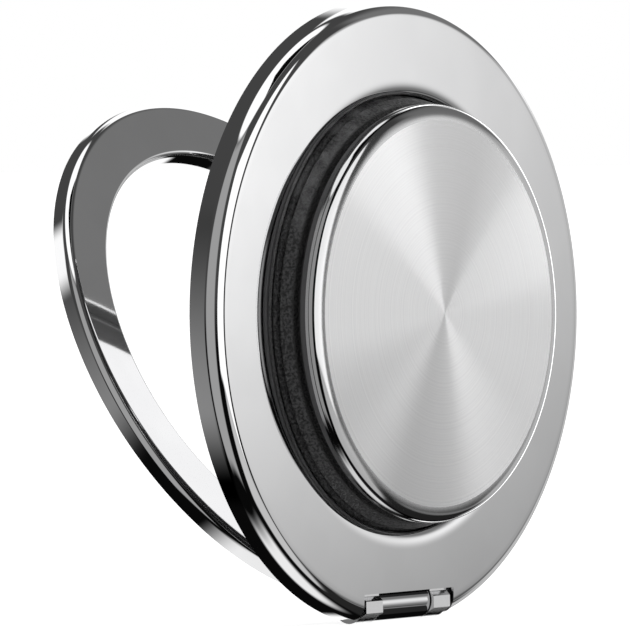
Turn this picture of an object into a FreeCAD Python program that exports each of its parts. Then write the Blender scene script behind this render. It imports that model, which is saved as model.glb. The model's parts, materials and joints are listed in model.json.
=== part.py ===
# Magnetic phone grip with a folding stand and a pop-out cap, in millimetres.
# A magnet ring sits on the back of the phone. A round plate is hinged to the ring's lower edge and
# swings out as a stand. A spun cap on a black rubber bellows pops out of the plate as a finger grip.
# Frame: origin at the centre of the ring's phone-side face, +X to the right, +Z up, -Y to the front.
import FreeCAD
import Part
import Sketcher
import math
import os

doc = FreeCAD.newDocument("PhoneGrip")


class Size:
    """A length or an angle that keeps both its number and the expression that gives it."""

    def __init__(self, value, text):
        self.value = value
        self.text = text

    @staticmethod
    def of(other):
        return other if isinstance(other, Size) else Size(float(other), repr(float(other)))

    def join(self, sign, other, value):
        return Size(value, f"({self.text} {sign} {other.text})")

    def __add__(self, other):
        other = Size.of(other)
        return self.join("+", other, self.value + other.value)

    def __sub__(self, other):
        other = Size.of(other)
        return self.join("-", other, self.value - other.value)

    def __mul__(self, other):
        other = Size.of(other)
        return self.join("*", other, self.value * other.value)

    def __truediv__(self, other):
        other = Size.of(other)
        return self.join("/", other, self.value / other.value)

    def __radd__(self, other):
        return Size.of(other) + self

    def __rsub__(self, other):
        return Size.of(other) - self

    def __rmul__(self, other):
        return Size.of(other) * self

    def __neg__(self):
        return 0 - self

    def sin(self):
        return Size(math.sin(math.radians(self.value)), f"sin({self.text} * 1 deg)")

    def cos(self):
        return Size(math.cos(math.radians(self.value)), f"cos({self.text} * 1 deg)")

    def root(self):
        return Size(math.sqrt(self.value), f"sqrt({self.text})")


# Driving dimensions, one alias each in the sheet
sheet = doc.addObject("Spreadsheet::Sheet", "Sizes")
aliases = []


def size(alias, value):
    aliases.append(alias)
    row = len(aliases)
    sheet.set(f"A{row}", alias)
    sheet.set(f"B{row}", str(value))
    sheet.setAlias(f"B{row}", alias)
    return Size(float(value), f"Sizes.{alias}")


# Plate: a pressed steel shell with a rolled rim, and a hole with a wide shallow roll and a tight edge
plate_radius = size("plate_radius", 30)
edge_round = size("edge_round", 1.5)
shell_wall = size("shell_wall", 0.5)
face_width = size("face_width", 8.75)
hole_depth = size("hole_depth", 1.3)
lip_round = size("lip_round", 3.9)
lip_slope = size("lip_slope", 20)
lip_edge = size("lip_edge", 0.2)
cover_thick = size("cover_thick", 0.5)
cover_bevel = size("cover_bevel", 0.15)
back_rim = size("back_rim", 2.3)
fit_gap = size("fit_gap", 0.05)

# Hinge at the foot of the plate
notch_side = size("notch_side", 0.45)
notch_room = size("notch_room", 0.25)
hinge_inset = size("hinge_inset", 2.25)
hinge_depth = size("hinge_depth", 2.2)
barrel_radius = size("barrel_radius", 1.75)
barrel_length = size("barrel_length", 8)
barrel_bevel = size("barrel_bevel", 0.15)
ear_length = size("ear_length", 2.7)
ear_gap = size("ear_gap", 0.15)
ear_setback = size("ear_setback", 0.1)
ear_face = size("ear_face", 1.15)
ear_top = size("ear_top", 0.4)
turn_gap = size("turn_gap", 0.3)
pin_radius = size("pin_radius", 0.6)
pin_bevel = size("pin_bevel", 0.15)
pin_recess = size("pin_recess", 0.2)
pin_gap = size("pin_gap", 0.04)
press_gap = size("press_gap", 0.01)
sleeve_wall = size("sleeve_wall", 0.36)
sleeve_split = size("sleeve_split", 30)
neck_width = size("neck_width", 7.2)
neck_lift = size("neck_lift", 0.2)

# Grip: bellows, the ring that clamps it, and the cap
clamp_height = size("clamp_height", 0.7)
clamp_show = size("clamp_show", 0.95)
clamp_bevel = size("clamp_bevel", 0.2)
bellows_gap = size("bellows_gap", 0.1)
bellows_wall = size("bellows_wall", 0.6)
bellows_fold = size("bellows_fold", 0.7)
foot_thick = size("foot_thick", 0.55)
foot_reach = size("foot_reach", 1.9)
cap_gap = size("cap_gap", 1.15)
cap_height = size("cap_height", 3.1)
cap_skirt = size("cap_skirt", 0.2)
cap_round = size("cap_round", 0.75)
cap_slope = size("cap_slope", 30)
shoulder_round = size("shoulder_round", 2.7)
dome_radius = size("dome_radius", 290)
cap_well = size("cap_well", 0.45)
cap_wall = size("cap_wall", 0.55)
core_web = size("core_web", 0.3)
core_rim = size("core_rim", 3.2)

# Magnet ring
ring_margin = size("ring_margin", 3.25)
ring_width = size("ring_width", 5.65)
ring_lift = size("ring_lift", 0.7)
ring_wall = size("ring_wall", 0.6)
ring_round = size("ring_round", 0.8)
ring_lip = size("ring_lip", 0.6)
rest_gap = size("rest_gap", 0.15)
web_thick = size("web_thick", 0.45)
yoke_thick = size("yoke_thick", 0.3)
magnet_thick = size("magnet_thick", 0.8)
magnet_span = size("magnet_span", 318.5)
magnet_gap = size("magnet_gap", 1.5)
pad_thick = size("pad_thick", 0.55)
pad_proud = size("pad_proud", 0.1)
opening = size("opening", 27.7)
MAGNETS = 16
doc.recompute()


# Sketches and features
def new_body(name):
    body = doc.addObject("PartDesign::Body", name)
    body.Label = name
    return body


def outline(body, plane, name, corners):
    """A closed profile. Each corner is (across, up), or (across, up, radius, turn) where a round
    stretch leads to the next corner; turn is +1 for one that bends left and -1 for right."""
    sketch = body.newObject("Sketcher::SketchObject", name)
    support = next(item for item in body.Origin.OriginFeatures if item.Role == plane)
    sketch.AttachmentSupport = [(support, "")]
    sketch.MapMode = "FlatFace"
    corners = [tuple(Size.of(part) for part in corner[:3]) + corner[3:] for corner in corners]
    places = [FreeCAD.Vector(corner[0].value, corner[1].value, 0) for corner in corners]
    ends = []
    for index, corner in enumerate(corners):
        start = places[index]
        end = places[(index + 1) % len(places)]
        if len(corner) == 2:
            sketch.addGeometry(Part.LineSegment(start, end), False)
            ends.append((1, 2))
            continue
        middle = (start + end) * 0.5
        half = (end - start).Length / 2
        radius = max(corner[2].value, half)
        left = FreeCAD.Vector(start.y - end.y, end.x - start.x, 0).normalize() * corner[3]
        bulge = radius - math.sqrt(radius * radius - half * half)
        sketch.addGeometry(Part.Arc(start, middle - left * bulge, end), False)
        ends.append((1, 2) if corner[3] > 0 else (2, 1))
    for index in range(len(places)):
        after = (index + 1) % len(places)
        sketch.addConstraint(Sketcher.Constraint("Coincident", index, ends[index][1], after, ends[after][0]))
    for index, corner in enumerate(corners):
        for kind, part in (("DistanceX", corner[0]), ("DistanceY", corner[1])):
            spot = Sketcher.Constraint(kind, -1, 1, index, ends[index][0], part.value)
            sketch.setExpression(f"Constraints[{sketch.addConstraint(spot)}]", part.text)
        if len(corner) > 2:
            bend = sketch.addConstraint(Sketcher.Constraint("Radius", index, corner[2].value))
            sketch.setExpression(f"Constraints[{bend}]", corner[2].text)
    doc.recompute()
    return sketch


def round_hole(body, plane, name, across, up, radius):
    sketch = body.newObject("Sketcher::SketchObject", name)
    support = next(item for item in body.Origin.OriginFeatures if item.Role == plane)
    sketch.AttachmentSupport = [(support, "")]
    sketch.MapMode = "FlatFace"
    centre = FreeCAD.Vector(across.value, up.value, 0)
    sketch.addGeometry(Part.Circle(centre, FreeCAD.Vector(0, 0, 1), radius.value), False)
    for kind, amount in (("DistanceX", across), ("DistanceY", up)):
        spot = Sketcher.Constraint(kind, -1, 1, 0, 3, amount.value)
        sketch.setExpression(f"Constraints[{sketch.addConstraint(spot)}]", amount.text)
    bend = sketch.addConstraint(Sketcher.Constraint("Radius", 0, radius.value))
    sketch.setExpression(f"Constraints[{bend}]", radius.text)
    doc.recompute()
    return sketch


def revolve(body, sketch, axis="V_Axis", angle=Size.of(360)):
    feature = body.newObject("PartDesign::Revolution", sketch.Name + "_turned")
    feature.Profile = sketch
    feature.ReferenceAxis = (sketch, [axis])
    feature.setExpression("Angle", angle.text)
    doc.recompute()
    return feature


def extrude(body, kind, sketch, length):
    feature = body.newObject(kind, sketch.Name + "_made")
    feature.Profile = sketch
    feature.SideType = "Symmetric"
    feature.setExpression("Length", length.text)
    doc.recompute()
    return feature


def pad(body, sketch, length):
    return extrude(body, "PartDesign::Pad", sketch, length)


def cut(body, sketch, length):
    before = body.Shape.Volume
    feature = extrude(body, "PartDesign::Pocket", sketch, length)
    if not feature.Shape.Volume < before:
        raise RuntimeError(f"{sketch.Name} cuts nothing")
    return feature


def box(left, bottom, right, top):
    return [(left, bottom), (right, bottom), (right, top), (left, top)]


# Places shared by the pieces. The plate's own frame has its origin on its axis at the back face, with
# z to the front. The ring's own frame has its origin at the phone-side face, with z towards the plate.
plate_thick = cover_thick + foot_thick + clamp_height + fit_gap + hole_depth
front = plate_thick
frame_front = front - shell_wall - fit_gap
ear_front = front - ear_setback
hole_radius = plate_radius - face_width
lip_radius = hole_radius + (lip_round - lip_edge) * lip_slope.sin() + lip_edge
shell_inside = plate_radius - shell_wall - fit_gap
cover_seat = shell_inside - back_rim
cover_radius = cover_seat - fit_gap
hinge_y = hinge_inset - plate_radius
hinge_z = front - hinge_depth
slot_top = hinge_y + barrel_radius + turn_gap
slot_length = barrel_length + 2 * ear_gap
ears_width = slot_length + 2 * ear_length
notch_width = ears_width + 2 * notch_side
ear_shoulder = hinge_y + ear_top + ear_front - frame_front
beyond = -plate_radius - plate_thick
through = 4 * plate_thick

ring_thick = pad_thick + magnet_thick + yoke_thick + web_thick
ring_outer = plate_radius - ring_margin
ring_inner = ring_outer - ring_width
barrel_y = hinge_y - ring_lift
barrel_z = hinge_z + rest_gap + ring_thick
axis_y = barrel_y * opening.sin() - barrel_z * opening.cos()
axis_z = barrel_y * opening.cos() + barrel_z * opening.sin()


def placement(y, z, turn):
    spot = f"vector(0; {Size.of(y).text}; {Size.of(z).text})"
    return f"placement({spot}; rotation(vector(1; 0; 0); ({Size.of(turn).text}) * 1 deg))"


def spin(angle):
    return f"placement(vector(0; 0; 0); rotation(vector(0; 0; 1); ({angle.text}) * 1 deg))"


ON_PLATE = placement(axis_y + hinge_z, axis_z - hinge_y, 90)
ON_RING = placement(0, 0, 90 - opening)
ON_HINGE = placement(axis_y, axis_z, 90 - opening)


# Front plate: chromed pressed shell of even wall, notched at its foot for the hinge
front_plate = new_body("front_plate")
lip_middle = front - lip_round
lip_inside = lip_round - shell_wall
lip_reach = lip_radius - hole_radius - shell_wall
lip_rise = (lip_inside * lip_inside - lip_reach * lip_reach).root()
revolve(front_plate, outline(front_plate, "XZ_Plane", "shell_section", [
    (plate_radius - shell_wall, 0),
    (plate_radius, 0),
    (plate_radius, front - edge_round, edge_round, 1),
    (plate_radius - edge_round, front),
    (lip_radius, front, lip_round, 1),
    (lip_radius - lip_round * lip_slope.sin(), lip_middle + lip_round * lip_slope.cos(), lip_edge, 1),
    (hole_radius, lip_middle + (lip_round - lip_edge) * lip_slope.cos()),
    (hole_radius, front - hole_depth),
    (hole_radius + shell_wall, front - hole_depth),
    (hole_radius + shell_wall, lip_middle + lip_rise, lip_inside, -1),
    (lip_radius, front - shell_wall),
    (plate_radius - edge_round, front - shell_wall, edge_round - shell_wall, -1),
    (plate_radius - shell_wall, front - edge_round),
]))
notch = box(-notch_width / 2, beyond, notch_width / 2, ear_shoulder + notch_room)
cut(front_plate, outline(front_plate, "XY_Plane", "shell_notch", notch), through)

# Inner frame: cast ring in the shell, with a rim round its back and two flat-fronted hinge ears at its foot
inner_frame = new_body("inner_frame")
frame_round = edge_round - shell_wall - fit_gap
revolve(inner_frame, outline(inner_frame, "XZ_Plane", "frame_section", [
    (lip_radius, cover_thick),
    (cover_seat, cover_thick),
    (cover_seat, 0),
    (shell_inside, 0),
    (shell_inside, front - edge_round, frame_round, 1),
    (plate_radius - edge_round, frame_front),
    (lip_radius, frame_front),
]))
cut(inner_frame, outline(inner_frame, "XY_Plane", "frame_notch", notch), through)
ear_root = slot_top + shell_wall
ear_back = (barrel_radius * barrel_radius - (hinge_z - cover_thick) * (hinge_z - cover_thick)).root()
corner = barrel_radius * Size.of(45).cos()
pad(inner_frame, outline(inner_frame, "YZ_Plane", "ear_section", [
    (ear_root, cover_thick),
    (ear_root, frame_front),
    (ear_shoulder, frame_front),
    (hinge_y + ear_top, ear_front),
    (hinge_y + ear_top - ear_face, ear_front),
    (hinge_y - corner, hinge_z + corner, barrel_radius, 1),
    (hinge_y, hinge_z - barrel_radius, barrel_radius, 1),
    (hinge_y + ear_back, cover_thick),
]), ears_width)
slot = box(beyond, -through, slot_top, through)
cut(inner_frame, outline(inner_frame, "YZ_Plane", "barrel_slot", slot), slot_length)
pin_hole = round_hole(inner_frame, "YZ_Plane", "pin_hole", hinge_y, hinge_z, pin_radius + press_gap)
cut(inner_frame, pin_hole, ears_width + notch_side)

# Rear cover: steel disc set in the frame's rim, which meets the magnets when the stand is shut
rear_cover = new_body("rear_cover")
revolve(rear_cover, outline(rear_cover, "XZ_Plane", "cover_section", [
    (0, 0),
    (cover_radius - cover_bevel, 0),
    (cover_radius, cover_bevel),
    (cover_radius, cover_thick),
    (0, cover_thick),
]))
cover_notch = box(-notch_width / 2, beyond, notch_width / 2, slot_top)
cut(rear_cover, outline(rear_cover, "XY_Plane", "cover_notch", cover_notch), through)

# Bellows clamp: glossy ring under the hole's lip that holds the foot of the bellows on the cover
bellows_clamp = new_body("bellows_clamp")
foot_top = cover_thick + foot_thick
seat_radius = lip_radius - fit_gap
clamp_top = front - hole_depth - fit_gap
clamp_inner = hole_radius - clamp_show
revolve(bellows_clamp, outline(bellows_clamp, "XZ_Plane", "clamp_section", [
    (clamp_inner, foot_top),
    (seat_radius, foot_top),
    (seat_radius, clamp_top),
    (clamp_inner + clamp_bevel, clamp_top),
    (clamp_inner, clamp_top - clamp_bevel),
]))

# Bellows: one rubber moulding with a round lower fold, a tapered middle fold and an upper collar.
# The levels of its folds are shares of its free height, since it stretches evenly.
bellows = new_body("bellows")
cap_rear = front + cap_height
bellows_top = cap_rear - fit_gap
free_height = bellows_top - clamp_top
neck_radius = clamp_inner - bellows_gap
upper_radius = neck_radius - bellows_fold / 2
waist_radius = neck_radius - bellows_fold
lining = neck_radius - bellows_fold / 4 - bellows_wall


def level(share):
    return clamp_top + free_height * share


LOWER_FOLD = (0.05, 0.37)
MIDDLE_FOLD = (0.43, 0.70)
WAIST = (0.75, 0.79)
COLLAR = 0.84
fold_chord = free_height * (LOWER_FOLD[1] - LOWER_FOLD[0])
fold_radius = (fold_chord * fold_chord / 4 + bellows_fold * bellows_fold) / (2 * bellows_fold)
revolve(bellows, outline(bellows, "XZ_Plane", "bellows_section", [
    (neck_radius - foot_reach, cover_thick),
    (seat_radius, cover_thick),
    (seat_radius, foot_top - fit_gap),
    (neck_radius, foot_top - fit_gap),
    (neck_radius, level(LOWER_FOLD[0]), fold_radius, 1),
    (neck_radius, level(LOWER_FOLD[1])),
    (neck_radius + bellows_fold * 0.7, level(MIDDLE_FOLD[0])),
    (neck_radius - bellows_fold / 4, level(MIDDLE_FOLD[1])),
    (waist_radius, level(WAIST[0])),
    (waist_radius, level(WAIST[1])),
    (upper_radius, level(COLLAR)),
    (upper_radius, bellows_top),
    (upper_radius - foot_reach, bellows_top),
    (upper_radius - foot_reach, bellows_top - foot_thick),
    (waist_radius - bellows_wall, bellows_top - foot_thick),
    (waist_radius - bellows_wall, level(MIDDLE_FOLD[1])),
    (lining, level(MIDDLE_FOLD[0])),
    (lining, foot_top),
    (neck_radius - foot_reach, foot_top),
]))

# Cap: metal disc with a short skirt, a rolled edge that eases into a wider shoulder, and a slightly
# domed face with a spun finish. The three rounds run smoothly into each other.
cap = new_body("cap")
cap_radius = hole_radius - cap_gap
cap_roof = cap_rear + cap_well
edge_x = cap_radius - cap_round
edge_z = cap_rear + cap_skirt
shoulder_x = edge_x - (shoulder_round - cap_round) * cap_slope.sin()
shoulder_z = edge_z - (shoulder_round - cap_round) * cap_slope.cos()
dome_reach = dome_radius - shoulder_round
dome_drop = (dome_reach * dome_reach - shoulder_x * shoulder_x).root()
dome_z = shoulder_z - dome_drop
revolve(cap, outline(cap, "XZ_Plane", "cap_section", [
    (cap_radius - cap_wall, cap_rear),
    (cap_radius, cap_rear),
    (cap_radius, edge_z, cap_round, 1),
    (edge_x + cap_round * cap_slope.sin(), edge_z + cap_round * cap_slope.cos(), shoulder_round, 1),
    (shoulder_x * dome_radius / dome_reach, dome_z + dome_drop * dome_radius / dome_reach, dome_radius, 1),
    (0, dome_z + dome_radius),
    (0, cap_roof),
    (cap_radius - cap_wall, cap_roof),
]))

# Cap core: moulded dish bonded inside the cap, with a rim that carries the top of the bellows
cap_core = new_body("cap_core")
core_radius = cap_radius - cap_wall - fit_gap
core_top = cap_roof - fit_gap
revolve(cap_core, outline(cap_core, "XZ_Plane", "core_section", [
    (0, core_top - core_web),
    (core_radius - core_rim, core_top - core_web),
    (core_radius - core_rim, cap_rear),
    (core_radius, cap_rear),
    (core_radius, core_top),
    (0, core_top),
]))

# Hinge pin: steel, pressed through both ears
hinge_pin = new_body("hinge_pin")
pin_half = ears_width / 2 - pin_recess
revolve(hinge_pin, outline(hinge_pin, "XY_Plane", "pin_section", [
    (-pin_half, 0),
    (pin_half, 0),
    (pin_half, pin_radius - pin_bevel),
    (pin_half - pin_bevel, pin_radius),
    (pin_bevel - pin_half, pin_radius),
    (-pin_half, pin_radius - pin_bevel),
]), "H_Axis")

# Hinge sleeve: split spring sleeve pressed in the barrel, which grips the pin so that the stand stays put
hinge_sleeve = new_body("hinge_sleeve")
sleeve_inner = pin_radius + pin_gap
sleeve_outer = sleeve_inner + sleeve_wall
sleeve_half = barrel_length / 2 - barrel_bevel
sleeve_section = box(-sleeve_half, sleeve_inner, sleeve_half, sleeve_outer)
revolve(hinge_sleeve, outline(hinge_sleeve, "XY_Plane", "sleeve_section", sleeve_section),
        "H_Axis", 360 - sleeve_split)

# Ring frame: chromed channel that holds the magnets, with the hinge barrel on a short neck at its foot
ring_frame = new_body("ring_frame")
barrel_round = round_hole(ring_frame, "YZ_Plane", "barrel_round", barrel_y, barrel_z, barrel_radius)
barrel = pad(ring_frame, barrel_round, barrel_length)
bevel = ring_frame.newObject("PartDesign::Chamfer", "barrel_bevelled")
rims = [f"Edge{i + 1}" for i, edge in enumerate(barrel.Shape.Edges) if edge.isClosed()]
bevel.Base = (barrel, rims)
bevel.setExpression("Size", barrel_bevel.text)
doc.recompute()
neck_root = ring_wall / 2 - ring_outer
pad(ring_frame, outline(ring_frame, "YZ_Plane", "neck_section", [
    (neck_root, pad_proud + neck_lift),
    (neck_root, ring_thick),
    (barrel_y, barrel_z),
    (barrel_y, barrel_z - barrel_radius),
    (barrel_y + barrel_radius / 2, pad_proud + neck_lift),
]), neck_width)
revolve(ring_frame, outline(ring_frame, "XZ_Plane", "ring_section", [
    (ring_outer - ring_wall, pad_proud),
    (ring_outer, pad_proud),
    (ring_outer, ring_thick - ring_round, ring_round, 1),
    (ring_outer - ring_round, ring_thick),
    (ring_inner + ring_lip, ring_thick, ring_lip, 1),
    (ring_inner, ring_thick - ring_lip),
    (ring_inner, pad_proud),
    (ring_inner + ring_wall, pad_proud),
    (ring_inner + ring_wall, ring_thick - web_thick),
    (ring_outer - ring_wall, ring_thick - web_thick),
]))
bore_radius = sleeve_outer + press_gap
sleeve_bore = round_hole(ring_frame, "YZ_Plane", "sleeve_bore", barrel_y, barrel_z, bore_radius)
cut(ring_frame, sleeve_bore, 2 * barrel_length)

# Yoke: thin steel band under the magnets that turns their field towards the phone
yoke_ring = new_body("yoke_ring")
channel_inner = ring_inner + ring_wall + fit_gap
channel_outer = ring_outer - ring_wall - fit_gap
yoke_front = ring_thick - web_thick
magnet_front = yoke_front - yoke_thick
yoke_section = box(channel_inner, magnet_front, channel_outer, yoke_front)
revolve(yoke_ring, outline(yoke_ring, "XZ_Plane", "yoke_section", yoke_section), angle=magnet_span)

# Magnets: arc pieces laid side by side round the channel, open at the hinge
magnets = []
magnet_arc = (magnet_span - (MAGNETS - 1) * magnet_gap) / MAGNETS
magnet_section = box(channel_inner + fit_gap, pad_thick, channel_outer - fit_gap, magnet_front)
for number in range(MAGNETS):
    magnet = new_body(f"magnet_{number + 1:02d}")
    revolve(magnet, outline(magnet, "XZ_Plane", f"magnet_section_{number + 1:02d}", magnet_section),
            angle=magnet_arc)
    magnets.append(magnet)

# Phone pad: soft ring that covers the magnets and rests on the phone, a little proud of the frame
phone_pad = new_body("phone_pad")
revolve(phone_pad, outline(phone_pad, "XZ_Plane", "pad_section", [
    (channel_inner, pad_proud),
    (channel_inner + pad_proud, 0),
    (channel_outer - pad_proud, 0),
    (channel_outer, pad_proud),
    (channel_outer, pad_thick),
    (channel_inner, pad_thick),
]))

# Placements: the plate and the cap stand upright, the ring leans back by the opening angle
array_start = 90 - magnet_span / 2
places = [(piece, ON_PLATE) for piece in
          (front_plate, inner_frame, rear_cover, bellows_clamp, bellows, cap, cap_core)]
places += [(piece, ON_HINGE) for piece in (hinge_pin, hinge_sleeve)]
places += [(piece, ON_RING) for piece in (ring_frame, phone_pad)]
places.append((yoke_ring, f"{ON_RING} * {spin(array_start)}"))
for number, magnet in enumerate(magnets):
    places.append((magnet, f"{ON_RING} * {spin(array_start + number * (magnet_arc + magnet_gap))}"))
for piece, spot in places:
    piece.setExpression("Placement", spot)
doc.recompute()

# Checks and export
for item in doc.Objects:
    if "Invalid" in item.State or "Error" in item.State:
        raise RuntimeError(f"{item.Label} failed: {item.State}")
os.makedirs("parts", exist_ok=True)
for piece, spot in places:
    if piece.Shape.isNull() or not piece.Shape.isValid() or len(piece.Shape.Solids) != 1:
        raise RuntimeError(f"{piece.Label} is not one sound solid")
for piece, spot in places:
    piece.Shape.exportStep(f"parts/{piece.Label}.step")
print(len(places), "pieces written")
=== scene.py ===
# A magnetic phone grip: a ring that holds to the back of a phone, a round plate hinged to its foot as a stand,
# and a spun cap on rubber bellows that pulls out of the plate for the fingers.
# Lengths are in metres, in the frame of the CAD model, and angles are in degrees.
import json
import math

import bmesh
import bpy
from mathutils import Matrix, Vector


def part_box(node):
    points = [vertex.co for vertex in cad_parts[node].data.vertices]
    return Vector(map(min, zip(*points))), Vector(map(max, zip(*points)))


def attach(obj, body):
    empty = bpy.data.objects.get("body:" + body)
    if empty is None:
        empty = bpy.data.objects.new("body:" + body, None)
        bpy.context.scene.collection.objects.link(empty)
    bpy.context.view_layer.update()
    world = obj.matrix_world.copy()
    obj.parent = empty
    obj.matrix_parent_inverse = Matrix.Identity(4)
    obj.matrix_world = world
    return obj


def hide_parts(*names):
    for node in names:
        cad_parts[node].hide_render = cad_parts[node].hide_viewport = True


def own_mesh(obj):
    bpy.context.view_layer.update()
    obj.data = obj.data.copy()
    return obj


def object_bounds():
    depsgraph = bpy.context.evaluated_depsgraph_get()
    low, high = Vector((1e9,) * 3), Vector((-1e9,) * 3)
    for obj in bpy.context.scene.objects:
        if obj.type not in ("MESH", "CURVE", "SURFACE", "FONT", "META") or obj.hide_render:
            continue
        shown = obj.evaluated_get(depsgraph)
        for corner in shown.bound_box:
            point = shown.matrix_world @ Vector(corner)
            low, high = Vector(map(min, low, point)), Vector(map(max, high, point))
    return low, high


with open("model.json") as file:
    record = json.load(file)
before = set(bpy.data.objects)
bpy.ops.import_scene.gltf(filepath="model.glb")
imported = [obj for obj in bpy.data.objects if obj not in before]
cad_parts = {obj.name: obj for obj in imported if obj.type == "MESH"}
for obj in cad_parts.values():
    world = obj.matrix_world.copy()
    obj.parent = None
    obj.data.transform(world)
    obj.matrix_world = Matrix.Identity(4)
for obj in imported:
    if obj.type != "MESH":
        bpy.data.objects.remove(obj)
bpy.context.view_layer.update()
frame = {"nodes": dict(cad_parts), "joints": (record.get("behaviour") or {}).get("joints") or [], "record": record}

# Ring frame
# The channel that holds the magnets, with the hinge barrel on a short neck at its foot.
# Die-cast, polished and chromed: a mirror with a trace of haze and a few fine wiping lines.
MM = 0.001
CHROME = (0.88, 0.88, 0.885, 1)
CLOUD_SIZE = 7 * MM
CLOUD_RANGE = (0.35, 0.65)
CLOUD_SHADE = 0.97
WIPE_SIZE = 0.12 * MM
WIPE_DRAWN = (0.04, 1, 1)
WIPE_RANGE = (0.62, 0.8)
RING_WIDTH = 5.65 * MM
RING_THICK = 2.1 * MM
RING_ROUND = 0.8 * MM
RING_LIP = 0.6 * MM
RING_DISH = 2.2
RING_WALL = 0.6 * MM
RING_WEB = 0.45 * MM
PAD_PROUD = 0.1 * MM
NECK_WIDTH = 7.2 * MM
NECK_LIFT = 0.3 * MM
BARREL_RADIUS = 1.75 * MM
BARREL_LENGTH = 8 * MM
BARREL_BORE = 1.01 * MM
CAST_EDGE = 0.12 * MM
SHARP_FROM = 40
ON_AXIS = 1e-9


class Signal:
    """A socket of a node tree. Sums on it add Math nodes, and node() adds a node of any other kind."""

    def __init__(self, socket):
        self.socket = socket
        self.tree = socket.id_data

    def node(self, kind, settings, sockets, output=0):
        made = self.tree.nodes.new(kind)
        for name, value in settings.items():
            setattr(made, name, value)
        for name, value in sockets.items():
            if isinstance(value, Signal):
                self.tree.links.new(value.socket, made.inputs[name])
            else:
                made.inputs[name].default_value = value
        return Signal(made.outputs[output])

    def maths(self, operation, first, second=0.0):
        return self.node("ShaderNodeMath", {"operation": operation}, {0: first, 1: second})

    def __add__(self, other):
        return self.maths("ADD", self, other)

    def __sub__(self, other):
        return self.maths("SUBTRACT", self, other)

    def __mul__(self, other):
        return self.maths("MULTIPLY", self, other)

    def __truediv__(self, other):
        return self.maths("DIVIDE", self, other)

    def __radd__(self, other):
        return self.maths("ADD", other, self)

    def __rsub__(self, other):
        return self.maths("SUBTRACT", other, self)

    def __rmul__(self, other):
        return self.maths("MULTIPLY", other, self)

    def __rtruediv__(self, other):
        return self.maths("DIVIDE", other, self)

    def step(self, low, high):
        """0 below low, 1 above high, and an eased rise between them."""
        return self.node("ShaderNodeMapRange", {"interpolation_type": "SMOOTHSTEP"},
                         {"Value": self, "From Min": low, "From Max": high})

    def mixed(self, first, second):
        """The first colour where this is 0 and the second where it is 1."""
        return self.node("ShaderNodeMix", {"data_type": "RGBA"}, {"Factor": self, 6: first, 7: second}, 2)

    def noise(self, grain, detail=2.0, stretch=(1, 1, 1)):
        """Noise with blotches about as wide as grain, drawn out along the axes that stretch makes small."""
        place = self.node("ShaderNodeVectorMath", {"operation": "MULTIPLY"}, {0: self, 1: stretch})
        return self.node("ShaderNodeTexNoise", {}, {"Vector": place, "Scale": 1 / grain, "Detail": detail})

    def axis(self, name):
        return self.node("ShaderNodeSeparateXYZ", {}, {"Vector": self}, name)

    def to(self, socket):
        self.tree.links.new(self.socket, socket)

    def bump(self, shader, depth):
        """Takes this as the height of the surface, depth metres from 0 to 1."""
        self.node("ShaderNodeBump", {}, {"Height": self, "Distance": depth, "Strength": 1.0},
                  "Normal").to(shader.inputs["Normal"])


def new_finish(name, **steady):
    """A material whose shader has these steady values, with the place on the piece to vary it by."""
    made = bpy.data.materials.new(name)
    made.use_nodes = True
    shader = made.node_tree.nodes["Principled BSDF"]
    for socket, value in steady.items():
        shader.inputs[socket.replace("_", " ")].default_value = value
    place = Signal(made.node_tree.nodes.new("ShaderNodeTexCoord").outputs["Object"])
    return made, shader, place


def polished(name, colour, haze, lines):
    """Polished metal: haze is its roughness between wiping lines and lines is how much they add."""
    made, shader, place = new_finish(name, Metallic=1.0)
    cloud = place.noise(CLOUD_SIZE)
    wiping = place.noise(WIPE_SIZE, stretch=WIPE_DRAWN).step(*WIPE_RANGE)
    shade = [CLOUD_SHADE * part for part in colour[:3]] + [1]
    cloud.step(*CLOUD_RANGE).mixed(colour, shade).to(shader.inputs["Base Color"])
    (haze + haze * cloud + lines * wiping).to(shader.inputs["Roughness"])
    return made


def facing(place, axis):
    """A place whose x runs along the hinge and whose z runs along an axis square to it."""
    up = Vector(axis).normalized()
    side = Vector((1, 0, 0))
    return Matrix.Translation(place) @ Matrix((side, up.cross(side), up)).transposed().to_4x4()


def made_piece(name, build, finish, place):
    bmesh.ops.recalc_face_normals(build, faces=build.faces)
    build.transform(place)
    mesh = bpy.data.meshes.new(name)
    build.to_mesh(mesh)
    build.free()
    mesh.materials.append(finish)
    piece = bpy.data.objects.new(name, mesh)
    bpy.context.scene.collection.objects.link(piece)
    return piece


def arc(across, up, radius, first, last, steps=16):
    """Points round a centre, between two angles from straight up, positive to the outside."""
    angles = [math.radians(first + (last - first) * step / steps) for step in range(steps + 1)]
    return [(across + radius * math.sin(angle), up + radius * math.cos(angle)) for angle in angles]


def oblong(low, high, bottom, top):
    return [(low, bottom), (high, bottom), (high, top), (low, top)]


def turned(name, section, finish, place, turns=288):
    """A closed section of (radius, height) points, turned about the place's z."""
    build = bmesh.new()
    angles = [2 * math.pi * turn / turns for turn in range(turns)]
    circles = []
    for radius, height in section:
        if radius < ON_AXIS:
            circles.append([build.verts.new((0, 0, height))] * turns)
            continue
        circles.append([build.verts.new((radius * math.cos(a), radius * math.sin(a), height)) for a in angles])
    for circle, after in zip(circles, circles[1:] + circles[:1]):
        for turn in range(turns):
            corners = [circle[turn], circle[turn - 1], after[turn - 1], after[turn]]
            corners = list(dict.fromkeys(corners))
            if len(corners) > 2:
                build.faces.new(corners)
    return made_piece(name, build, finish, place)


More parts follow.
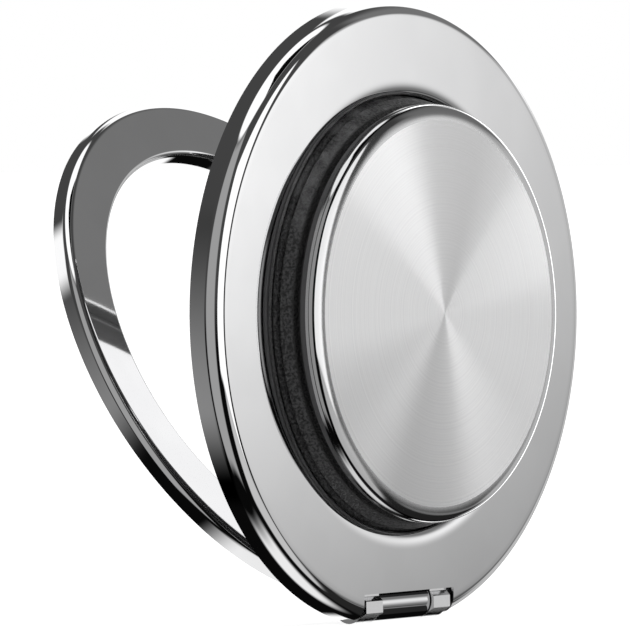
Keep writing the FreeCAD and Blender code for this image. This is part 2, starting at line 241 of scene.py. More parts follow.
def bar(name, outline, width, finish, place):
    """A closed outline of (y, z) points, drawn out along the hinge by a width."""
    build = bmesh.new()
    ends = [[build.verts.new((x, y, z)) for y, z in outline] for x in (-width / 2, width / 2)]
    for index in range(len(outline)):
        build.faces.new([ends[0][index - 1], ends[0][index], ends[1][index], ends[1][index - 1]])
    for end in ends:
        build.faces.new(end)
    return made_piece(name, build, finish, place)


def settle(piece):
    """Keeps the mesh that the piece's modifiers give."""
    looks = bpy.context.evaluated_depsgraph_get()
    shaped = piece.evaluated_get(looks)
    mesh = bpy.data.meshes.new_from_object(shaped, preserve_all_data_layers=True, depsgraph=looks)
    piece.modifiers.clear()
    piece.data = mesh


def combine(piece, operation, tool):
    """Joins the tool to the piece or cuts it out of it."""
    change = piece.modifiers.new("change", "BOOLEAN")
    change.operation = operation
    change.object = tool
    settle(piece)
    bpy.data.objects.remove(tool)


def ease(piece, edge=0, segments=3, crease=35):
    """Rounds the sharp edges by edge, if it is given, and shades bends under crease degrees as smooth."""
    if edge:
        rounds = piece.modifiers.new("rounds", "BEVEL")
        rounds.width = edge
        rounds.segments = segments
        rounds.angle_limit = math.radians(SHARP_FROM)
        settle(piece)
    piece.data.shade_smooth()
    piece.data.set_sharp_from_angle(angle=math.radians(crease))
    piece.modifiers.new("shading", "WEIGHTED_NORMAL").keep_sharp = True
    settle(piece)


def stand_in(piece, node, body):
    """Puts a finished piece in the place of its plain solid."""
    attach(piece, body)
    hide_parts(node)


chrome = polished("polished_chrome", CHROME, haze=0.02, lines=0.02)
phone_side = Vector(frame["record"]["mounts"][0]["axis"])
on_ring = facing((0, 0, 0), -phone_side)
ring_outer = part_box("ring_frame")[1].x
ring_inner = ring_outer - RING_WIDTH
web_up = RING_THICK - RING_WEB
lip_drop = (RING_WIDTH - RING_ROUND - RING_LIP) * math.tan(math.radians(RING_DISH))
ring_section = [(ring_outer - RING_WALL, PAD_PROUD), (ring_outer, PAD_PROUD)]
ring_section += arc(ring_outer - RING_ROUND, RING_THICK - RING_ROUND, RING_ROUND, 90, -RING_DISH)
ring_section += arc(ring_inner + RING_LIP, RING_THICK - lip_drop - RING_LIP, RING_LIP, -RING_DISH, -90)
ring_section += [(ring_inner, PAD_PROUD), (ring_inner + RING_WALL, PAD_PROUD)]
ring_section += [(ring_inner + RING_WALL, web_up), (ring_outer - RING_WALL, web_up)]
ring = turned("chrome_ring", ring_section, chrome, on_ring)
hinge = Vector(frame["joints"][0]["pos_m"])
barrel = on_ring.inverted() @ hinge
along_hinge = Matrix.Translation(hinge) @ Matrix.Rotation(math.pi / 2, 4, "Y")
neck_root = RING_WALL / 2 - ring_outer
neck_outline = [(neck_root, NECK_LIFT), (neck_root, RING_THICK), (barrel.y, barrel.z),
                (barrel.y, barrel.z - BARREL_RADIUS), (barrel.y + BARREL_RADIUS / 2, NECK_LIFT)]
combine(ring, "UNION", bar("neck", neck_outline, NECK_WIDTH, chrome, on_ring))
half = BARREL_LENGTH / 2
barrel_section = oblong(0, BARREL_RADIUS, -half, half)
combine(ring, "UNION", turned("barrel", barrel_section, chrome, along_hinge, turns=96))
bore_section = oblong(0, BARREL_BORE, -2 * half, 2 * half)
combine(ring, "DIFFERENCE", turned("bore", bore_section, chrome, along_hinge, turns=96))
ease(ring, CAST_EDGE)
stand_in(ring, "ring_frame", "ring")

# Yoke and magnets
# A thin steel band on the channel's floor and sixteen arc magnets on it, nickel plated, glued in a row that is
# open at the hinge. The pad hides them all.
YOKE_STEEL = (0.55, 0.55, 0.56, 1)
NICKEL = (0.70, 0.69, 0.66, 1)


def dress(finish, *nodes):
    for node in nodes:
        frame["nodes"][node].material_slots[0].material = finish


dress(polished("yoke_steel", YOKE_STEEL, haze=0.14, lines=0.1), "yoke_ring")
dress(polished("magnet_nickel", NICKEL, haze=0.08, lines=0.05),
      *(node for node in frame["nodes"] if node.startswith("magnet_")))

# Phone pad
# A soft black rubber ring over the magnets, moulded with a fine leather grain so that it grips the phone
# without marking it. It is glued in the channel and stands a hair proud of the chrome.
PAD_BLACK = (0.024, 0.024, 0.025, 1)
PAD_WORN = (0.038, 0.038, 0.04, 1)
WORN_SIZE = 3 * MM
PEBBLE_SIZE = 0.4 * MM
PEBBLE_DEPTH = 0.04 * MM
PAD_ROUGH = 0.55
PEBBLE_ROUGH = 0.2
PAD_THICK = 0.55 * MM
PAD_SIDE_GAP = 0.05 * MM
PAD_CROWN = 0.35 * MM
PAD_EDGE = 0.03 * MM
pad_grain, shader, place = new_finish("black_pad_rubber", IOR=1.5)
pebbles = place.node("ShaderNodeTexVoronoi", {}, {"Vector": place, "Scale": 1 / PEBBLE_SIZE}, "Distance")
place.noise(WORN_SIZE).mixed(PAD_BLACK, PAD_WORN).to(shader.inputs["Base Color"])
(PAD_ROUGH + PEBBLE_ROUGH * pebbles).to(shader.inputs["Roughness"])
(0 - pebbles).bump(shader, PEBBLE_DEPTH)
pad_inner = ring_inner + RING_WALL + PAD_SIDE_GAP
pad_outer = ring_outer - RING_WALL - PAD_SIDE_GAP
pad_section = [(pad_inner, PAD_THICK), (pad_inner, PAD_PROUD), (pad_inner + PAD_CROWN / 4, PAD_PROUD / 4)]
pad_section += [(pad_inner + PAD_CROWN, 0), (pad_outer - PAD_CROWN, 0)]
pad_section += [(pad_outer - PAD_CROWN / 4, PAD_PROUD / 4), (pad_outer, PAD_PROUD), (pad_outer, PAD_THICK)]
pad = turned("soft_pad", pad_section, pad_grain, on_ring)
ease(pad, PAD_EDGE)
stand_in(pad, "phone_pad", "ring")

# Hinge pin and sleeve
# A ground steel pin through both ears, and the split sleeve of spring steel in the barrel between them.
# The sleeve grips the pin, so that the stand stays where it is opened.
PIN_STEEL = (0.60, 0.60, 0.61, 1)
dress(polished("ground_steel", PIN_STEEL, haze=0.1, lines=0.12), "hinge_pin", "hinge_sleeve")

# Inner frame
# The cast frame inside the shell, whose two flat-fronted ears show in the notch and whose rim shows round the
# back. It is plated like the shell, but its faces are only satin, and the back of its rim is lacquered black.
LACQUER = (0.03, 0.03, 0.031, 1)
LACQUER_GLOSS = 0.1
LACQUER_REACH = 0.15 * MM
LACQUER_FADE = 0.05 * MM
LACQUER_ROUGH = 0.35
SATIN_ROUGH = 0.1
SATIN_CLOUD = 0.1
PLATE_THICK = 3.1 * MM
EDGE_ROUND = 1.5 * MM
SHELL_WALL = 0.5 * MM
FIT_GAP = 0.05 * MM
FACE_WIDTH = 8.75 * MM
LIP_RUN = 1.334 * MM
LIP_SLOPE = 20
LIP_EDGE = 0.2 * MM
BACK_RIM = 2.3 * MM
COVER_THICK = 0.5 * MM
HINGE_INSET = 2.25 * MM
HINGE_DEPTH = 2.2 * MM
EAR_GAP = 0.15 * MM
EAR_LENGTH = 2.7 * MM
EAR_SETBACK = 0.1 * MM
EAR_FACE = 1.15 * MM
EAR_TOP = 0.4 * MM
TURN_GAP = 0.3 * MM
NOTCH_SIDE = 0.45 * MM
NOTCH_ROOM = 0.25 * MM
PIN_HOLE = 0.61 * MM
SATIN_EDGE = 0.08 * MM
plate_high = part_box("front_plate")[1]
clamp_low, clamp_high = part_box("bellows_clamp")
plate_middle = (clamp_low.z + clamp_high.z) / 2
on_plate = facing((0, plate_high.y, plate_middle), (0, -1, 0))
plate_radius = plate_high.x
hole_radius = plate_radius - FACE_WIDTH
lip_end = hole_radius + LIP_EDGE * (1 - math.sin(math.radians(LIP_SLOPE)))
lip_start = lip_end + LIP_RUN
roll_across = plate_radius - EDGE_ROUND
roll_up = PLATE_THICK - EDGE_ROUND
frame_front = PLATE_THICK - SHELL_WALL - FIT_GAP
frame_outer = plate_radius - SHELL_WALL - FIT_GAP
cover_seat = frame_outer - BACK_RIM
hinge_y = HINGE_INSET - plate_radius
hinge_z = PLATE_THICK - HINGE_DEPTH
ear_front = PLATE_THICK - EAR_SETBACK
ear_top = hinge_y + EAR_TOP
ear_shoulder = ear_top + ear_front - frame_front
ear_foot = hinge_y + math.sqrt(BARREL_RADIUS ** 2 - (hinge_z - COVER_THICK) ** 2)
slot_top = hinge_y + BARREL_RADIUS + TURN_GAP
slot_length = BARREL_LENGTH + 2 * EAR_GAP
ears_width = slot_length + 2 * EAR_LENGTH
notch_width = ears_width + 2 * NOTCH_SIDE
satin, shader, place = new_finish("satin_plate", Specular_IOR_Level=LACQUER_GLOSS)
rim_back = place.axis("Y").step(plate_high.y - LACQUER_REACH, plate_high.y - LACQUER_FADE)
rim_back.mixed(CHROME, LACQUER).to(shader.inputs["Base Color"])
(1 - rim_back).to(shader.inputs["Metallic"])
(SATIN_ROUGH + SATIN_CLOUD * place.noise(CLOUD_SIZE) + LACQUER_ROUGH * rim_back).to(shader.inputs["Roughness"])
frame_section = [(lip_start, COVER_THICK), (cover_seat, COVER_THICK), (cover_seat, 0), (frame_outer, 0)]
frame_section += arc(roll_across, roll_up, frame_outer - plate_radius + EDGE_ROUND, 90, 0)
frame_section.append((lip_start, frame_front))
inside = turned("hinge_frame", frame_section, satin, on_plate)
notch_outline = oblong(-2 * plate_radius, ear_shoulder + NOTCH_ROOM, -PLATE_THICK, 2 * PLATE_THICK)
combine(inside, "DIFFERENCE", bar("notch", notch_outline, notch_width, satin, on_plate))
ear_root = slot_top + SHELL_WALL
ear_outline = [(ear_root, COVER_THICK), (ear_root, frame_front), (ear_shoulder, frame_front)]
ear_outline += [(ear_top, ear_front), (ear_top - EAR_FACE, ear_front)]
ear_outline += arc(hinge_y, hinge_z, BARREL_RADIUS, -45, -180, steps=24)
ear_outline.append((ear_foot, COVER_THICK))
combine(inside, "UNION", bar("ears", ear_outline, ears_width, satin, on_plate))
slot_outline = oblong(-2 * plate_radius, slot_top, -PLATE_THICK, 2 * PLATE_THICK)
combine(inside, "DIFFERENCE", bar("slot", slot_outline, slot_length, satin, on_plate))
pin_reach = (ears_width + NOTCH_SIDE) / 2
pin_section = oblong(0, PIN_HOLE, -pin_reach, pin_reach)
combine(inside, "DIFFERENCE", turned("pin_hole", pin_section, satin, along_hinge, turns=64))
ease(inside, SATIN_EDGE, segments=1, crease=20)
stand_in(inside, "inner_frame", "plate")

# Front plate
# The pressed steel shell, slightly domed, with its rolled rim and a hole that dips in softly and then turns
# down tightly. It is polished and chromed like the ring, and notched at its foot for the hinge.
HOLE_DEPTH = 1.3 * MM
PLATE_DOME = 550 * MM
LIP_OVER = 0.25 * MM
LIP_CURVE = 3
LIP_STEPS = 20
roll_tilt = math.degrees(math.asin(roll_across / (PLATE_DOME - EDGE_ROUND)))
lip_tilt = math.degrees(math.asin(lip_start / PLATE_DOME))
crown_up = roll_up - (PLATE_DOME - EDGE_ROUND) * math.cos(math.radians(roll_tilt))
lip_run = LIP_RUN + LIP_OVER
lip_fall = lip_run * math.tan(math.radians(LIP_SLOPE + lip_tilt)) / LIP_CURVE
hole_foot = PLATE_THICK - HOLE_DEPTH
hole_back = hole_radius + SHELL_WALL


def crown(radius):
    """Height of the slightly domed face at a distance from the plate's axis."""
    return crown_up + math.sqrt(PLATE_DOME ** 2 - radius ** 2)


edge_up = crown(lip_start - lip_run) - lip_fall - LIP_EDGE * math.cos(math.radians(LIP_SLOPE))
plate_section = [(plate_radius - SHELL_WALL, 0), (plate_radius, 0)]
plate_section += arc(roll_across, roll_up, EDGE_ROUND, 90, roll_tilt, steps=24)
plate_section += arc(0, crown_up, PLATE_DOME, roll_tilt, lip_tilt, steps=12)[1:-1]
for step in range(LIP_STEPS):
    share = step / LIP_STEPS
    lip_across = lip_start - lip_run * share
    plate_section.append((lip_across, crown(lip_across) - lip_fall * share ** LIP_CURVE))
plate_section += arc(hole_radius - LIP_OVER + LIP_EDGE, edge_up, LIP_EDGE, -LIP_SLOPE, -90)
plate_section += [(hole_radius, hole_foot), (hole_back, hole_foot)]
plate_section += [(hole_back, PLATE_THICK - 2 * SHELL_WALL), (lip_start, PLATE_THICK - SHELL_WALL)]
plate_section += arc(roll_across, roll_up, EDGE_ROUND - SHELL_WALL, 0, 90)
plate = turned("chrome_plate", plate_section, chrome, on_plate)
combine(plate, "DIFFERENCE", bar("notch", notch_outline, notch_width, chrome, on_plate))
ease(plate)
stand_in(plate, "front_plate", "plate")

# Bellows clamp
# The ring that holds the foot of the bellows in the plate's hole.
# Black plastic, moulded glossy, and held down by the shell round the hole.
CLAMP_BLACK = (0.012, 0.012, 0.013, 1)
CLAMP_WORN = (0.022, 0.022, 0.024, 1)
CLAMP_CLOUD = 2 * MM
HAZE_SIZE = 0.6 * MM
CLAMP_ROUGH = 0.08
HAZE_ROUGH = 0.1
FOOT_THICK = 0.55 * MM
CLAMP_SHOW = 0.95 * MM
CLAMP_EDGE = 0.2 * MM
clamp_gloss, shader, place = new_finish("black_gloss_plastic", IOR=1.5)
place.noise(CLAMP_CLOUD).mixed(CLAMP_BLACK, CLAMP_WORN).to(shader.inputs["Base Color"])
(CLAMP_ROUGH + HAZE_ROUGH * place.noise(HAZE_SIZE)).to(shader.inputs["Roughness"])
foot_top = COVER_THICK + FOOT_THICK
clamp_top = hole_foot - FIT_GAP
clamp_inner = hole_radius - CLAMP_SHOW
clamp_outer = lip_start - FIT_GAP
clamp = turned("gloss_clamp", oblong(clamp_inner, clamp_outer, foot_top, clamp_top), clamp_gloss, on_plate)
ease(clamp, CLAMP_EDGE)
stand_in(clamp, "bellows_clamp", "plate")

# Bellows
# One black rubber moulding: a foot under the clamp, a round lower fold, a grained middle fold that tapers,
# a waist and a smooth collar that the cap's core grips. It folds together as the cap is pressed in.
RUBBER_BLACK = (0.006, 0.006, 0.0065, 1)
RUBBER_GREY = (0.085, 0.085, 0.087, 1)
RUBBER_PAINTED_SHEEN = (0.18, 0.18, 0.183, 1)
COLLAR_PAINTED_SHEEN = (0.12, 0.12, 0.123, 1)
GROOVE_PAINTED_SHADE = (0.004, 0.004, 0.004, 1)
GRAIN_SIZE = 0.26 * MM
GRAIN_RANGE = (0.35, 0.65)
GRAIN_DEPTH = 0.06 * MM
RUBBER_ROUGH = 0.3
SHEEN_SIZE = 0.3 * MM
SHEEN_ROUGH = 0.16
PAINTED_SHEEN_SIZE = 2.5 * MM
PAINTED_SHEEN_RANGE = (0.45, 0.7)
PAINTED_SHEEN_FROM = 4 * MM
PAINTED_SHEEN_FULL = 16 * MM
BELLOWS_GAP = 0.1 * MM
BELLOWS_WALL = 0.6 * MM
BELLOWS_FOLD = 0.7 * MM
FOOT_REACH = 1.9 * MM
CAP_HEIGHT = 3.1 * MM
FOLD_EDGE = 0.1 * MM
LOWER_FOLD = (0.05, 0.37)
LOWER_ROUND = 0.8
MIDDLE_FOLD = (0.43, 0.70)
MIDDLE_PROUD = 0.7
GROOVE_SHADE_SPAN = (0.64, 0.7)
WAIST = (0.75, 0.79)
SMOOTH = (0.76, 0.78)
COLLAR = 0.84
FOLD_STEPS = 20
bellows_top = PLATE_THICK + CAP_HEIGHT - FIT_GAP
bellows_rise = bellows_top - clamp_top
rubber, shader, place = new_finish("black_rubber", IOR=1.55)
climb = (plate_high.y - clamp_top - place.axis("Y")) / bellows_rise
smooth = climb.step(*SMOOTH)
# Painted shade: from the top of the middle fold through the waist the rubber is painted near black, for the shade
# in that crease.
groove_shade = climb.step(*GROOVE_SHADE_SPAN) * (1 - smooth)
grain = place.noise(GRAIN_SIZE, detail=3).step(*GRAIN_RANGE)
# Painted sheen: pale mottled patches painted on the upper side of the bellows stand in for light that the rubber
# reflects there.
upper = place.axis("Z").step(plate_middle + PAINTED_SHEEN_FROM, plate_middle + PAINTED_SHEEN_FULL)
painted_sheen = place.noise(PAINTED_SHEEN_SIZE, detail=4).step(*PAINTED_SHEEN_RANGE) * upper
sides = grain.mixed(RUBBER_BLACK, RUBBER_GREY)
sides = painted_sheen.mixed(sides, RUBBER_PAINTED_SHEEN)
# Painted sheen: the smooth collar is painted lighter grey for the light that its smooth rubber reflects.
sides = smooth.mixed(sides, COLLAR_PAINTED_SHEEN)
groove_shade.mixed(sides, GROOVE_PAINTED_SHADE).to(shader.inputs["Base Color"])
(RUBBER_ROUGH + SHEEN_ROUGH * place.noise(SHEEN_SIZE)).to(shader.inputs["Roughness"])
(grain * (1 - smooth)).bump(shader, GRAIN_DEPTH)
neck_radius = clamp_inner - BELLOWS_GAP
collar_radius = neck_radius - BELLOWS_FOLD / 2
waist_radius = neck_radius - BELLOWS_FOLD
lining = waist_radius - BELLOWS_WALL
foot_inner = neck_radius - FOOT_REACH
head_inner = collar_radius - FOOT_REACH
head_foot = bellows_top - FOOT_THICK
levels = [clamp_top + bellows_rise * share for share in (*LOWER_FOLD, *MIDDLE_FOLD, *WAIST, COLLAR)]
lower_start, lower_end, middle_start, middle_end, waist_start, waist_end, collar_start = levels
bellows_section = [(foot_inner, COVER_THICK), (clamp_outer, COVER_THICK)]
bellows_section += [(clamp_outer, foot_top - FIT_GAP), (neck_radius, foot_top - FIT_GAP)]
for step in range(FOLD_STEPS + 1):
    share = step / FOLD_STEPS
    bulge = BELLOWS_FOLD * math.sin(math.pi * share) ** LOWER_ROUND
    bellows_section.append((neck_radius + bulge, lower_start + (lower_end - lower_start) * share))
bellows_section.append((neck_radius + MIDDLE_PROUD * BELLOWS_FOLD, middle_start))
bellows_section.append((neck_radius - BELLOWS_FOLD / 4, middle_end))
bellows_section += [(waist_radius, waist_start), (waist_radius, waist_end)]
bellows_section += [(collar_radius, collar_start), (collar_radius, bellows_top)]
bellows_section += [(head_inner, bellows_top), (head_inner, head_foot)]
bellows_section += [(lining, head_foot), (lining, foot_top), (foot_inner, foot_top)]
bellows = turned("rubber_bellows", bellows_section, rubber, on_plate)
ease(bellows, FOLD_EDGE)
stand_in(bellows, "bellows", "plate")
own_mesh(bellows)

# Rear cover
# A polished steel disc that closes the back of the plate, with a black lacquered band where it meets the ring.
# It drops into the frame's rim and leaves the hinge free at its foot.
COVER_STEEL = (0.84, 0.84, 0.845, 1)
LACQUER_PAINTED_LIGHT = (0.08, 0.08, 0.082, 1)
BAND_PAINTED_HIGHLIGHT = (0.3, 0.3, 0.305, 1)
LANDING_INNER = 21.4 * MM
LANDING_FULL = 21.6 * MM
LACQUER_FROM = 21.5 * MM
LACQUER_FULL = 26.2 * MM
HIGHLIGHT_INNER = 26.0 * MM
HIGHLIGHT_OUTER = 26.3 * MM
HIGHLIGHT_BLUR = 0.1 * MM
COVER_ROUGH = 0.04
COVER_CLOUD = 0.03
LANDING_ROUGH = 0.4
COVER_BEVEL = 0.12 * MM


def from_middle(place, middle=(0, 0, 0), flat=(1, 1, 0)):
    """Distance from an axis through the middle, square to the directions that flat keeps."""
    offset = place.node("ShaderNodeVectorMath", {"operation": "SUBTRACT"}, {0: place, 1: middle})
    offset = place.node("ShaderNodeVectorMath", {"operation": "MULTIPLY"}, {0: offset, 1: flat})
    return place.node("ShaderNodeVectorMath", {"operation": "LENGTH"}, {0: offset}, "Value")


mirror, shader, place = new_finish("cover_steel", Specular_IOR_Level=LACQUER_GLOSS)
radius = from_middle(place, on_plate.translation, (1, 0, 1))
landing = radius.step(LANDING_INNER, LANDING_FULL)
# Painted highlight: a thin light grey ring is painted on the black band.
band_highlight = radius.step(HIGHLIGHT_INNER, HIGHLIGHT_INNER + HIGHLIGHT_BLUR) * (1 - radius.step(HIGHLIGHT_OUTER, HIGHLIGHT_OUTER + HIGHLIGHT_BLUR))
# Painted light: the black band is painted lighter towards the middle, from its outer edge in to the landing.
lacquer_and_painted_light = radius.step(LACQUER_FROM, LACQUER_FULL).mixed(LACQUER_PAINTED_LIGHT, LACQUER)
bare = landing.mixed(COVER_STEEL, lacquer_and_painted_light)
band_highlight.mixed(bare, BAND_PAINTED_HIGHLIGHT).to(shader.inputs["Base Color"])
(1 - landing).to(shader.inputs["Metallic"])
(COVER_ROUGH + COVER_CLOUD * place.noise(CLOUD_SIZE) + LANDING_ROUGH * landing).to(shader.inputs["Roughness"])
cover = turned("polished_cover", oblong(0, cover_seat - FIT_GAP, 0, COVER_THICK), mirror, on_plate)
combine(cover, "DIFFERENCE", bar("notch", slot_outline, notch_width, mirror, on_plate))
ease(cover, COVER_BEVEL)
stand_in(cover, "rear_cover", "plate")

# Cap core
# The dish inside the cap, whose rim carries the top of the bellows.
# Matte black plastic, moulded and bonded to the cap.
CORE_BLACK = (0.024, 0.024, 0.024, 1)
CORE_GREY = (0.034, 0.034, 0.034, 1)
CORE_CLOUD = 1.5 * MM
CORE_ROUGH = 0.55
CORE_GRAIN = 0.2 * MM
CORE_GRAIN_ROUGH = 0.15
core_matte, shader, place = new_finish("black_matte_plastic", IOR=1.48)
place.noise(CORE_CLOUD).mixed(CORE_BLACK, CORE_GREY).to(shader.inputs["Base Color"])
(CORE_ROUGH + CORE_GRAIN_ROUGH * place.noise(CORE_GRAIN)).to(shader.inputs["Roughness"])
dress(core_matte, "cap_core")

# Cap edge
# The polished metal cup of the cap: a short skirt and a rolled edge with a fine line of painted shade round it,
# which ease into a wider shoulder round the spun face. It is bonded to the core.
EDGE_BRIGHT = (0.9, 0.9, 0.905, 1)
EDGE_PAINTED_SHADE = (0.66, 0.66, 0.665, 1)
LINE_PAINTED_SHADE = (0.03, 0.03, 0.031, 1)
LINE_INNER = 0.1 * MM
LINE_OUTER = 0.2 * MM
LINE_BLUR = 0.04 * MM
EDGE_ROUGH = 0.06
EDGE_CLOUD = 5 * MM
EDGE_CLOUD_ROUGH = 0.04
SOFT_WIDTH = 0.9 * MM
SOFT_ROUGH = 0.16
CAP_ROUND = 0.75 * MM
CAP_SLOPE = 30
SHOULDER_ROUND = 1.8 * MM
EASE_ROUND = 4 * MM
EASE_SLOPE = 16
FACE_SLOPE = 5
DOME_ROUND = 290 * MM
CAP_WELL = 0.45 * MM
CAP_WALL = 0.55 * MM
FACE_THICK = 0.3 * MM
cap_low, cap_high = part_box("cap")
on_cap = facing((0, cap_high.y, plate_middle), (0, -1, 0))
cap_radius = cap_high.x
well_radius = cap_radius - CAP_WALL
edge_across = cap_radius - CAP_ROUND
shoulder_across = edge_across - (SHOULDER_ROUND - CAP_ROUND) * math.sin(math.radians(CAP_SLOPE))
shoulder_fall = (SHOULDER_ROUND - CAP_ROUND) * math.cos(math.radians(CAP_SLOPE))
ease_across = shoulder_across - (EASE_ROUND - SHOULDER_ROUND) * math.sin(math.radians(EASE_SLOPE))
ease_fall = (EASE_ROUND - SHOULDER_ROUND) * math.cos(math.radians(EASE_SLOPE))
dome_slope = math.degrees(math.asin(ease_across / (DOME_ROUND - EASE_ROUND)))
dome_fall = (DOME_ROUND - EASE_ROUND) * math.cos(math.radians(dome_slope))
skirt_up = cap_high.y - cap_low.y - DOME_ROUND + dome_fall + ease_fall + shoulder_fall
shoulder_up = skirt_up - shoulder_fall
ease_up = shoulder_up - ease_fall
dome_up = ease_up - dome_fall
shoulder = arc(shoulder_across, shoulder_up, SHOULDER_ROUND, CAP_SLOPE, EASE_SLOPE, steps=24)
shoulder += arc(ease_across, ease_up, EASE_ROUND, EASE_SLOPE, FACE_SLOPE, steps=12)[1:]
face_radius, face_top = shoulder[-1]
face_seat = face_top - FACE_THICK
line_across = edge_across + CAP_ROUND * math.sin(math.radians(CAP_SLOPE))
line_start = line_across + LINE_INNER
line_end = line_across + LINE_OUTER
edge_metal, shader, place = new_finish("polished_edge", Metallic=1.0)
radius = from_middle(place)
# Painted shade: a thin line round the rolled edge is painted black for the shade in a turned groove that the mesh
# does not have.
line_shade = radius.step(line_start, line_start + LINE_BLUR) * (1 - radius.step(line_end, line_end + LINE_BLUR))
# Painted shade: the metal is painted darker from the face's edge out to the line on the rolled edge.
edge_shading = radius.step(face_radius, line_across).mixed(EDGE_BRIGHT, EDGE_PAINTED_SHADE)
line_shade.mixed(edge_shading, LINE_PAINTED_SHADE).to(shader.inputs["Base Color"])
soft = 1 - radius.step(face_radius, face_radius + SOFT_WIDTH)
(EDGE_ROUGH + EDGE_CLOUD_ROUGH * place.noise(EDGE_CLOUD) + SOFT_ROUGH * soft).to(shader.inputs["Roughness"])
edge_section = [(well_radius, 0), (cap_radius, 0)]
edge_section += arc(edge_across, skirt_up, CAP_ROUND, 90, CAP_SLOPE, steps=20) + shoulder[1:]
edge_section += [(face_radius, face_seat), (0, face_seat), (0, CAP_WELL), (well_radius, CAP_WELL)]
edge = turned("cap_edge", edge_section, edge_metal, Matrix())
ease(edge)
edge.matrix_world = on_cap
stand_in(edge, "cap", "push_cap")

# Cap face
# The middle of the cap, slightly domed, of the same metal as its edge and turned on a lathe.
# Its circular brush marks draw the light out into rays.
MARK_BRIGHT = (1.0, 1.0, 1.0, 1)
MARK_DIM = (0.92, 0.92, 0.925, 1)
MARK_SIZE = 0.2 * MM
MARK_RANGE = (0.25, 0.75)
MARK_DEPTH = 0.0006 * MM
MARK_ROUGH = 0.1
SPUN_ROUGH = 0.25
spun, shader, place = new_finish("spun_metal", Metallic=1.0, Anisotropic=1.0, Anisotropic_Rotation=0.25)
radius = from_middle(place)
marks = radius.node("ShaderNodeTexNoise", {"noise_dimensions": "1D"},
                    {"W": radius, "Scale": 1 / MARK_SIZE, "Detail": 4})
marks.step(*MARK_RANGE).mixed(MARK_DIM, MARK_BRIGHT).to(shader.inputs["Base Color"])
(SPUN_ROUGH + MARK_ROUGH * marks).to(shader.inputs["Roughness"])
marks.bump(shader, MARK_DEPTH)
face_section = [(0, face_seat), (face_radius, face_seat)]
face_section += arc(ease_across, ease_up, EASE_ROUND, FACE_SLOPE, dome_slope, steps=12)
face_section += arc(0, dome_up, DOME_ROUND, dome_slope, 0, steps=24)[1:]
face = turned("spun_face", face_section, spun, Matrix())
ease(face)
face.matrix_world = on_cap
stand_in(face, "cap", "push_cap")

# Floor
# A plain pale sheet under the plate's foot.
# It is white to the camera and keeps a faint shadow of the grip, and the chrome does not mirror it.
FLOOR_REACH = 3.0
FLOOR_PALE = (0.9, 0.9, 0.9, 1)
FLOOR_GLOW = (0.8, 0.8, 0.8, 1)
NO_GLOW = (0, 0, 0, 1)
pale, shader, place = new_finish("pale_sheet", Base_Color=FLOOR_PALE, Roughness=1.0, Emission_Strength=1.0)
seen = place.node("ShaderNodeLightPath", {}, {}, "Is Camera Ray")
seen.mixed(NO_GLOW, FLOOR_GLOW).to(shader.inputs["Emission Color"])
floor_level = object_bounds()[0][2]
floor_mesh = bpy.data.meshes.new("floor")
floor_corners = [(x * FLOOR_REACH, y * FLOOR_REACH, floor_level) for x, y in oblong(-1, 1, -1, 1)]
floor_mesh.from_pydata(floor_corners, [], [(0, 1, 2, 3)])
floor_mesh.materials.append(pale)
floor = bpy.data.objects.new("floor", floor_mesh)
floor.visible_glossy = False
bpy.context.scene.collection.objects.link(floor)

# Studio
# Soft panels round the grip, given by the directions that they fill, with darkness between them.
# The chrome mirrors them, and the camera sees plain white behind the grip.
FLAT_MIRROR = 53.3
CARD_FALL = 0.2 / 5.6
world = bpy.data.worlds.new("studio")
bpy.context.scene.world = world
world.use_nodes = True
sky = world.node_tree
toward = Signal(sky.nodes.new("ShaderNodeTexCoord").outputs["Generated"])
across = toward.maths("ARCTAN2", toward.axis("X"), 0 - toward.axis("Y")) * math.degrees(1)
height = toward.maths("ARCSINE", toward.axis("Z")) * math.degrees(1)
aside = toward.axis("X") / (0 - toward.axis("Z"))


def panel(left, right, bottom, top, soft):
    """1 in a window of directions, round from the front and up, with soft edges."""
    return (across.step(left - soft, left + soft) * (1 - across.step(right - soft, right + soft))
            * height.step(bottom - soft, bottom + soft) * (1 - height.step(top - soft, top + soft)))


def lit(light, mask, level):
    return light + mask * (level - light)


left_wall = height.step(-46, -26) * (0.05 + 0.21 * (1 - height.step(-24, 30)))
card = 0.2 * height.step(-18.3, -12.6) + 0.71 * height.step(-12.6, 3.9) * (1 - height.step(4.2, 19.2))
card = card * (1 - (across - FLAT_MIRROR) * CARD_FALL)
over_card = 0.06 + 0.13 * (1 - height.step(26, 48))
back_wall = 0.4 + 0.3 * height.step(-36, 0)
# Each panel lies over those before it: left, right, bottom and top edge, softness of the edges, level.
PANELS = (
    (-10, 60, 62, 85, 2, 0.003),
    (-102, -40, -50, 60, 4, 0.374),
    (-158, -116, -52, 30, 4, left_wall),
    (-5, 40, -40, -12, 3, 0.6),
    (-18, 31, -12, 36, 1.5, 1.25),
    (47, 104, -28, 12, 2, 0.55),
    (40, 80, -50, -19, 3, 0.02),
    (44, 69, -18, 19, 2, card),
    (50, 84, 12, 56, 4, over_card),
    (85, 130, 8, 52, 3, 1.2),
    (108, 150, -26, 10, 3, 1.1),
    (-172, -148, 14, 34, 5, 1.1),
    (156, 200, -36, 4, 6, back_wall),
    (-200, -168, -36, 4, 6, back_wall),
)
from_below = (1 - height.step(-70, -54)) * aside.step(-0.4, -0.05)
from_above = height.step(60, 64)
light = 0.003 + 0.057 * height.step(-8, 8)
light = lit(light, from_below, 0.95)
light = lit(light, from_above, 1.2)
for left, right, bottom, top, soft, level in PANELS:
    light = lit(light, panel(left, right, bottom, top, soft), level)
seen = toward.node("ShaderNodeLightPath", {}, {}, "Is Camera Ray")
lit(light, seen, 1.0).to(sky.nodes["Background"].inputs["Color"])

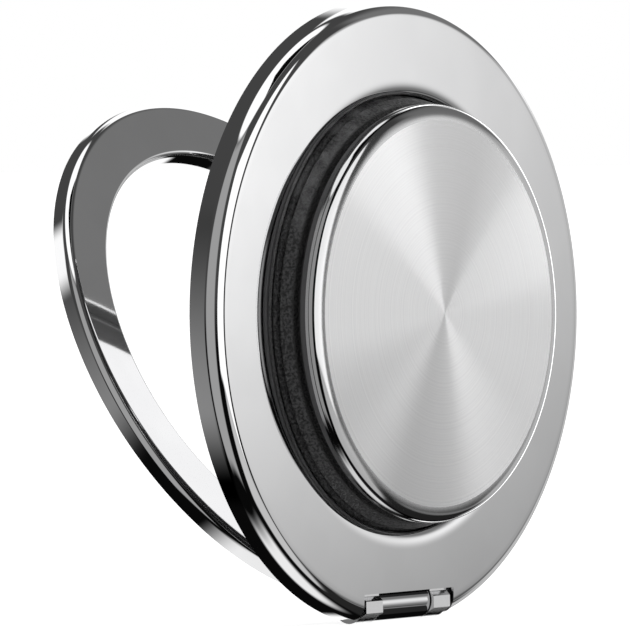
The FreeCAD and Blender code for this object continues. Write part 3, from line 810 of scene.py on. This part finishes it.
# Cap lamps
# Three soft lamps for the spun face alone, which its brush marks draw out into rays, and a tall strip that
# lights only the polished edge round it.
LAMP_AWAY = 0.6
# Each lamp: name, the piece it lights, direction round from the front and up, width, height, power.
CAP_LAMPS = (
    ("fan_left", face, 44, 14, 0.17, 0.17, 0.11),
    ("fan_fill", face, 62, 9, 0.3, 0.3, 0.065),
    ("fan_right", face, 85, 5, 0.11, 0.11, 0.23),
    ("edge_strip", edge, 103, 0, 0.21, 1.4, 1.4),
)
for name, piece, around, up, wide, high, power in CAP_LAMPS:
    lamp_light = bpy.data.lights.new(name, "AREA")
    lamp_light.shape = "ELLIPSE"
    lamp_light.size = wide
    lamp_light.size_y = high
    lamp_light.energy = power
    lamp = bpy.data.objects.new(name, lamp_light)
    bpy.context.scene.collection.objects.link(lamp)
    level = math.cos(math.radians(up))
    rightward = level * math.sin(math.radians(around))
    forward = level * math.cos(math.radians(around))
    away = Vector((rightward, -forward, math.sin(math.radians(up))))
    lamp.location = on_cap.translation + LAMP_AWAY * away
    lamp.rotation_euler = away.to_track_quat("Z", "Y").to_euler()
    lit_only = bpy.data.collections.new(name)
    lit_only.objects.link(piece)
    lamp.light_linking.receiver_collection = lit_only

# Camera
# It stands to the left of the grip, almost level with it, and looks past the plate's left edge to the ring.
# Its long lens keeps the circles free of strong perspective.
CAMERA_PLACE = Vector((-0.85638, -0.63903, 0.03029))
CAMERA_RIGHT = Vector((0.59289821, -0.8050292, -0.01999252))
CAMERA_UP = Vector((0.03182291, -0.00138458, 0.99949256))
camera_lens = bpy.data.cameras.new("camera")
camera_lens.sensor_width = 36
camera_lens.lens = 630.0
camera_lens.clip_end = 20
camera = bpy.data.objects.new("camera", camera_lens)
bpy.context.scene.collection.objects.link(camera)
turn = Matrix((CAMERA_RIGHT, CAMERA_UP, CAMERA_RIGHT.cross(CAMERA_UP))).transposed()
camera.matrix_world = Matrix.Translation(CAMERA_PLACE) @ turn.to_4x4()
bpy.context.scene.camera = camera
bpy.context.scene.view_settings.view_transform = "Standard"
